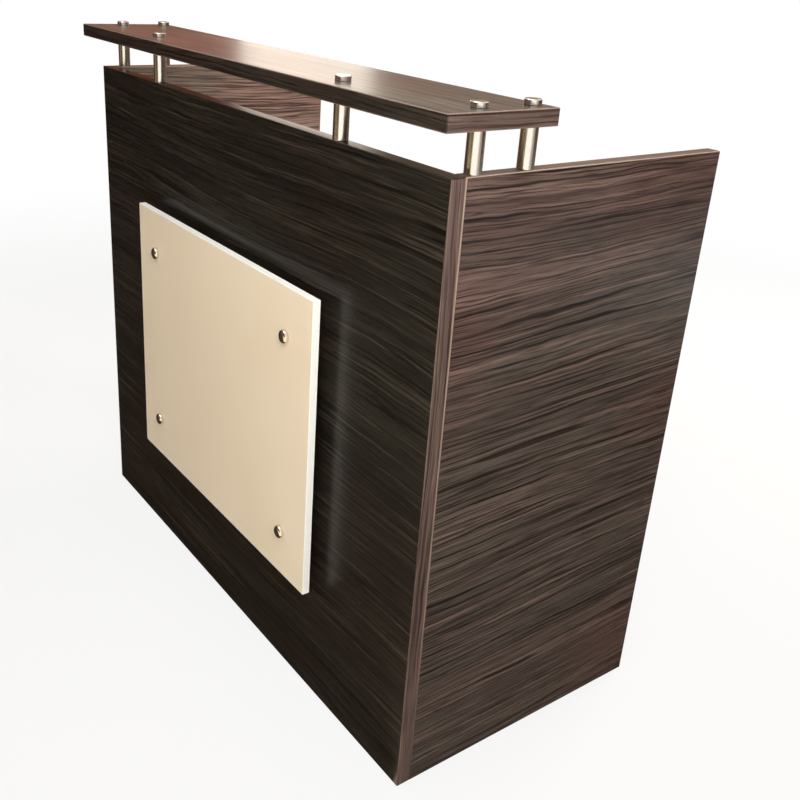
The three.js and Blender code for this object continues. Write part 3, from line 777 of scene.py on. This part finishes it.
# Nodes that keep their own shape: bolts inside the boards, and the lock's turning core.
for node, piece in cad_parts.items():
    if node.startswith(("post_bolt_", "fascia_bolt_")):
        piece.data.materials.clear()
        piece.data.materials.append(zincSteel)
    elif node == "lock_core":
        piece.data.materials.clear()
        piece.data.materials.append(zincSteel)


# Stage

studio = {"floorColour": "#cdc9c1", "lift": 0.83, "clearRadius": 1.6, "whiteRadius": 4.0, "ambient": 0.25}


def anyRay(tree):
    path = addNode(tree, "LightPath")
    seen = addNode(tree, "Math", {0: path.outputs["Is Camera Ray"], 1: path.outputs["Is Glossy Ray"]},
                   operation="MAXIMUM")
    return addNode(tree, "Math", {0: seen.outputs[0], 1: path.outputs["Is Transmission Ray"]},
                   operation="MAXIMUM").outputs[0]


# Pale painted floor that keeps the shadow and goes over to the white of the backdrop further out.
def floorFinish():
    finish, tree, shader = newFinish("paleFloor")
    place = addNode(tree, "TexCoord").outputs["Object"]
    reach = addNode(tree, "VectorMath", {0: place}, operation="LENGTH").outputs["Value"]
    away = addNode(tree, "MapRange", {"Value": reach, "From Min": studio["clearRadius"],
                                      "From Max": studio["whiteRadius"], "To Min": studio["lift"],
                                      "To Max": 1.0}, interpolation_type="SMOOTHSTEP").outputs[0]
    share = addNode(tree, "Math", {0: away, 1: anyRay(tree)}, operation="MULTIPLY").outputs[0]
    paint = drawnNoise(tree, place, (90 * mm,) * 3, detail=3.0)
    gloss = addNode(tree, "MapRange", {"Value": paint, "To Min": 0.75, "To Max": 0.9}).outputs[0]
    tree.links.new(gloss, shader.inputs["Roughness"])
    shader.inputs["Base Color"].default_value = linearColour(studio["floorColour"])
    shader.inputs["Specular IOR Level"].default_value = 0.0
    white = addNode(tree, "Emission", {"Strength": 1.0})
    mixed = addNode(tree, "MixShader", {0: share, 1: shader.outputs[0], 2: white.outputs[0]})
    tree.links.new(mixed.outputs[0], tree.nodes["Material Output"].inputs["Surface"])
    return finish


floorMesh = bpy.data.meshes.new("floor")
floorEdge = 12.0
floorMesh.from_pydata([(-floorEdge, -floorEdge, -0.3 * mm), (floorEdge, -floorEdge, -0.3 * mm),
                       (floorEdge, floorEdge, -0.3 * mm), (-floorEdge, floorEdge, -0.3 * mm)],
                      [], [(0, 1, 2, 3)])
floorMesh.materials.append(floorFinish())
floor = bpy.data.objects.new("floor", floorMesh)
bpy.context.scene.collection.objects.link(floor)

world = bpy.data.worlds.new("studio")
bpy.context.scene.world = world
world.use_nodes = True
tree = world.node_tree
tree.nodes.clear()
ambient = addNode(tree, "Background", {"Strength": studio["ambient"]})
backdrop = addNode(tree, "Background", {"Color": (1, 1, 1, 1), "Strength": 1.0})
ambient.inputs["Color"].default_value = (1, 1, 1, 1)
sky = addNode(tree, "MixShader", {0: anyRay(tree), 1: ambient.outputs[0], 2: backdrop.outputs[0]})
addNode(tree, "OutputWorld", {"Surface": sky.outputs[0]})

# Cards that only reflections see, as a photographer flags shiny panels: a dark floor round the desk,
# and a ring of standing cards that gives the steel its dark and pale stripes.
deskSide, deskFront = 0.6, -0.26  # just under the end panels and the front panel
cards = {
    # a standing card: start and end of its foot, lower and upper edge, colour, how bright it glows
    "standing": {
        "leftWallCard": ((-4.0, 0.0), (-2.85, 1.86), 0.3, 2.6, "#a85d3d", 1.0),
        "backWallCard": ((-2.85, 1.86), (-1.4, 4.2), 0.3, 2.6, "#a68c71", 1.0),
        "rightBackCard": ((-1.4, 4.2), (2.0, 4.1), 0, 2.4, "#5a4f45", 1.0),
        "rightCard": ((2.0, 4.1), (4.0, 2.2), 0, 2.4, "#4a4038", 1.0),
        "endWallCard": ((4.0, 2.2), (4.6, 0.4), 0, 2.4, "#b8ab9c", 1.0),
        "brightCard": ((2.5, -3.8), (4.6, -0.5), 0, 1.6, "#ffffff", 1.4),
        "roomCard": ((-4.6, -0.3), (-3.1, -3.2), 0, 4.5, "#3c322b", 1.0),
        "roomFrontCard": ((-3.1, -3.2), (-0.4, -4.5), 0, 4.5, "#77654f", 1.0),
        "darkFrontCard": ((-0.4, -4.5), (1.9, -4.1), 0, 4.5, "#352d27", 1.0),
    },
    # a lying card: its four corners on the floor, colour, how bright it glows
    "lying": {
        "frontLeftCard": ((-7, -7), (-3.94, -7), (deskSide, deskFront), (-7, deskFront), "#463a2f", 1.0),
        "frontCard": ((-3.94, -7), (7, -7), (7, -6.03), (deskSide, deskFront), "#f4e3c6", 1.7),
        "leftCard": ((-7, deskFront), (-deskSide, deskFront), (-deskSide, 7), (-7, 7), "#3a3029", 1.0),
        "backCard": ((-deskSide, deskFront), (deskSide, deskFront), (deskSide, 7), (-deskSide, 7),
                     "#3a322c", 1.0),
        "endCard": ((deskSide, deskFront), (2.75, deskFront), (2.75, 2.2), (deskSide, 2.2), "#463e37", 1.0),
    },
}
cardCorners = {name: [(*place, 0) for place in corners] + [colour, glow]
               for name, (*corners, colour, glow) in cards["lying"].items()}
for name, (start, end, low, high, colour, glow) in cards["standing"].items():
    cardCorners[name] = [(*start, low), (*end, low), (*end, high), (*start, high), colour, glow]
for name, (*corners, colour, glow) in cardCorners.items():
    finish, tree, shader = newFinish(name)
    shine = addNode(tree, "Emission", {"Color": linearColour(colour), "Strength": glow})
    tree.links.new(shine.outputs[0], tree.nodes["Material Output"].inputs["Surface"])
    cardMesh = bpy.data.meshes.new(name)
    cardMesh.from_pydata(corners, [], [(0, 1, 2, 3)])
    cardMesh.materials.append(finish)
    card = bpy.data.objects.new(name, cardMesh)
    bpy.context.scene.collection.objects.link(card)
    for ray in ("camera", "diffuse", "transmission", "volume_scatter", "shadow"):
        setattr(card, "visible_" + ray, False)

softboxes = {
    # name: place, aim, width, height, power in watts, colour, spread in degrees
    "key": ((1.65, -1.0, 1.95), (0.2, -0.1, 0.7), 1.2, 1.2, 47, "#ffffff", 180),
    "fill": ((1.5, -2.8, 1.2), (0, 0, 0.55), 2.2, 1.2, 11, "#ffffff", 180),
    "overhead": ((0, -0.8, 3.3), (0, -0.1, 0.6), 2.0, 1.6, 31, "#ffffff", 180),
    "staff": ((0, 3.0, 1.8), (0, 0, 0.7), 1.6, 1.2, 115, "#fff8f0", 180),
    "inner": ((0.45, 0.9, 1.5), (-0.6, 0, 0.95), 0.4, 0.4, 5.6, "#fff9f2", 60),
    "window": ((-2.28, 1.33, 1.6), (0.25, -0.2, 1.143), 0.6, 0.8, 4.6, "#fff8e8", 180),
}
for name, (place, aim, width, height, power, colour, spread) in softboxes.items():
    lamp = bpy.data.lights.new(name, "AREA")
    lamp.shape = "RECTANGLE"
    lamp.size, lamp.size_y, lamp.energy = width, height, power
    lamp.spread = math.radians(spread)
    lamp.color = linearColour(colour)[:3]
    box = bpy.data.objects.new(name, lamp)
    aimed = (Vector(aim) - Vector(place)).to_track_quat("-Z", "Y").to_matrix().to_4x4()
    box.matrix_world = Matrix.Translation(place) @ aimed
    box.visible_camera = False
    box.visible_glossy = name in ("overhead", "window")
    bpy.context.scene.collection.objects.link(box)
print("studio lit:", len(softboxes), "softboxes")

# Camera of the photograph: focal length and image centre in pixels of an 800 by 800 picture.
shot = {"focal": 956.76, "centre": (364.49, 346.25), "image": 800, "sensor": 36.0,
        "eye": (1.5447, -1.0812, 1.3186), "forward": (-0.744024, 0.550723, -0.378329),
        "right": (0.575627, 0.815824, 0.05554)}
lens = bpy.data.cameras.new("camera")
lens.sensor_width = shot["sensor"]
lens.lens = shot["focal"] * shot["sensor"] / shot["image"]
lens.shift_x = (shot["image"] / 2 - shot["centre"][0]) / shot["image"]
lens.shift_y = (shot["centre"][1] - shot["image"] / 2) / shot["image"]
camera = bpy.data.objects.new("camera", lens)
forward, right = Vector(shot["forward"]).normalized(), Vector(shot["right"]).normalized()
axes = Matrix((right, right.cross(forward), -forward)).transposed().to_4x4()
camera.matrix_world = Matrix.Translation(shot["eye"]) @ axes
bpy.context.scene.collection.objects.link(camera)
bpy.context.scene.camera = camera
bpy.context.scene.view_settings.view_transform = "Standard"
print("camera set")
